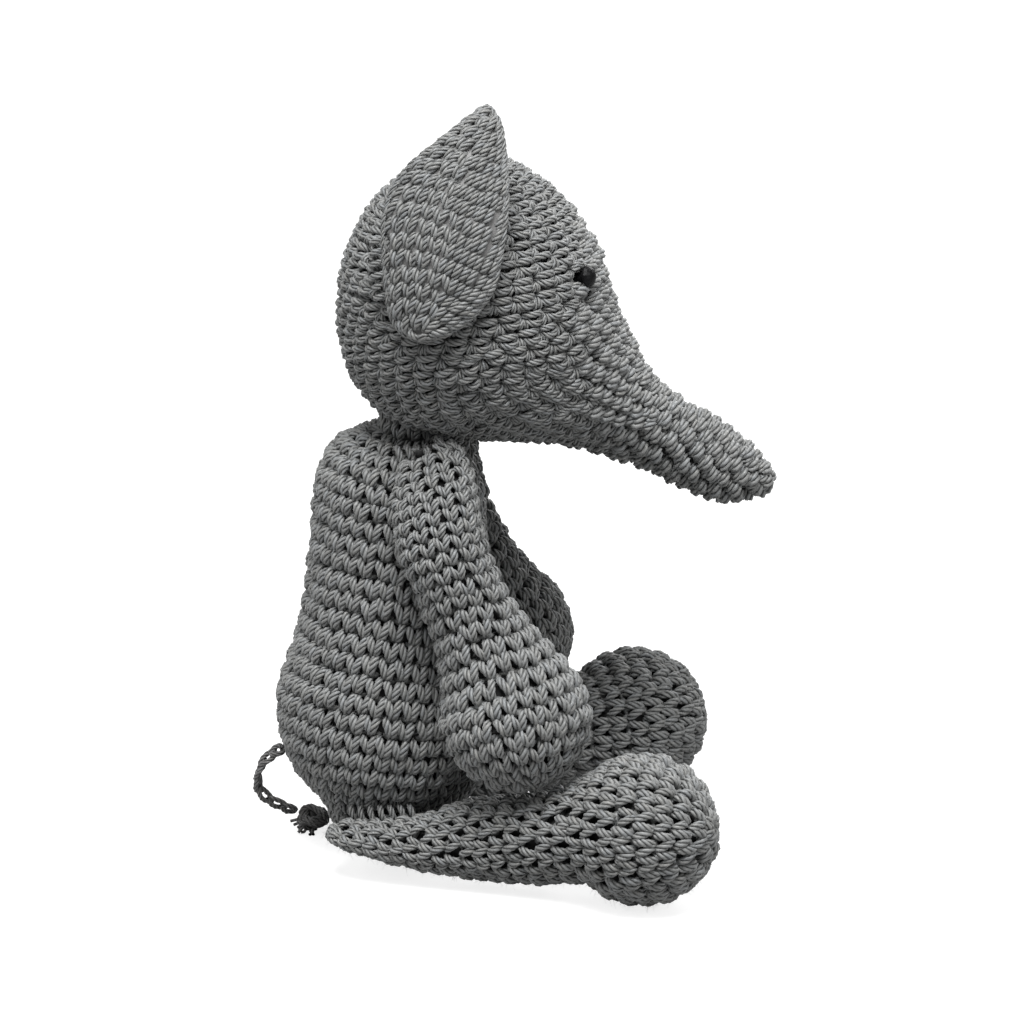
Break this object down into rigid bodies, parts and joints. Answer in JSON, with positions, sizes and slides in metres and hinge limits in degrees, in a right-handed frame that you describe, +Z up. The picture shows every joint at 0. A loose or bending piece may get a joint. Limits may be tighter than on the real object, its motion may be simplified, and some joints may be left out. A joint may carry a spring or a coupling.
{
  "type": "stuffed elephant",
  "caption": "Crocheted stuffed elephant sitting upright, with a tapering trunk, flap ears, hanging arms with round hands and splayed legs with ball feet.",
  "frame": {"origin": "centre of the sitting toy's outline on the floor, tail left out", "axes": "+Z up, the face looks along -Y, the toy's left side is +X"},
  "size_m": [0.1466, 0.1555, 0.2286],
  "materials": {
    "crochet": "mid grey mercerised cotton yarn",
    "stuffing": "white polyester fibre",
    "eye_black": "glossy black",
    "washer": "natural plastic"
  },
  "bodies": {
    "torso": {"body_cover": "crochet", "body_stuffing": "stuffing", "right_arm_seam": "crochet", "right_leg_seam": "crochet", "left_arm_seam": "crochet", "left_leg_seam": "crochet"},
    "neck": {"neck_seam": "crochet"},
    "head": {"head_cover": "crochet", "head_stuffing": "stuffing", "right_eye": "eye_black", "right_eye_washer": "washer", "right_ear_seam": "crochet", "left_eye": "eye_black", "left_eye_washer": "washer", "left_ear_seam": "crochet"},
    "tail": {"tail_cord": "crochet", "tail_knot": "crochet"},
    "right_arm": {"right_arm_cover": "crochet", "right_arm_stuffing": "stuffing"},
    "right_leg": {"right_leg_cover": "crochet", "right_leg_stuffing": "stuffing"},
    "right_ear_flap": {"right_ear": "crochet"},
    "left_arm": {"left_arm_cover": "crochet", "left_arm_stuffing": "stuffing"},
    "left_leg": {"left_leg_cover": "crochet", "left_leg_stuffing": "stuffing"},
    "left_ear_flap": {"left_ear": "crochet"}
  },
  "joints": [
    {"name": "head_nod", "type": "hinge", "parent": "torso", "child": "neck", "pos_m": [0, 0.031, 0.127], "axis": [1, 0, 0], "range_deg": [-2, 8]},
    {"name": "head_turn", "type": "hinge", "parent": "neck", "child": "head", "pos_m": [0, 0.031, 0.127], "axis": [0, 0, 1], "range_deg": [-8, 8]},
    {"name": "tail_swing", "type": "hinge", "parent": "torso", "child": "tail", "pos_m": [0, 0.073, 0.03], "axis": [0, 0, 1], "range_deg": [-20, 20]},
    {"name": "right_arm_swing", "type": "hinge", "parent": "torso", "child": "right_arm", "pos_m": [-0.022, 0.029, 0.127], "axis": [1, 0, 0], "range_deg": [-28, 0]},
    {"name": "right_leg_splay", "type": "hinge", "parent": "torso", "child": "right_leg", "pos_m": [-0.0262, 0.0575, 0.0131], "axis": [0, 0, 1], "range_deg": [-25, 2]},
    {"name": "right_ear_fold", "type": "hinge", "parent": "head", "child": "right_ear_flap", "pos_m": [-0.0325, 0.0415, 0.186], "axis": [0, 0, 1], "range_deg": [-50, 0]},
    {"name": "left_arm_swing", "type": "hinge", "parent": "torso", "child": "left_arm", "pos_m": [0.022, 0.029, 0.127], "axis": [1, 0, 0], "range_deg": [-28, 0]},
    {"name": "left_leg_splay", "type": "hinge", "parent": "torso", "child": "left_leg", "pos_m": [0.0262, 0.0575, 0.0131], "axis": [0, 0, 1], "range_deg": [-2, 25]},
    {"name": "left_ear_fold", "type": "hinge", "parent": "head", "child": "left_ear_flap", "pos_m": [0.0325, 0.0415, 0.186], "axis": [0, 0, 1], "range_deg": [0, 50]}
  ]
}
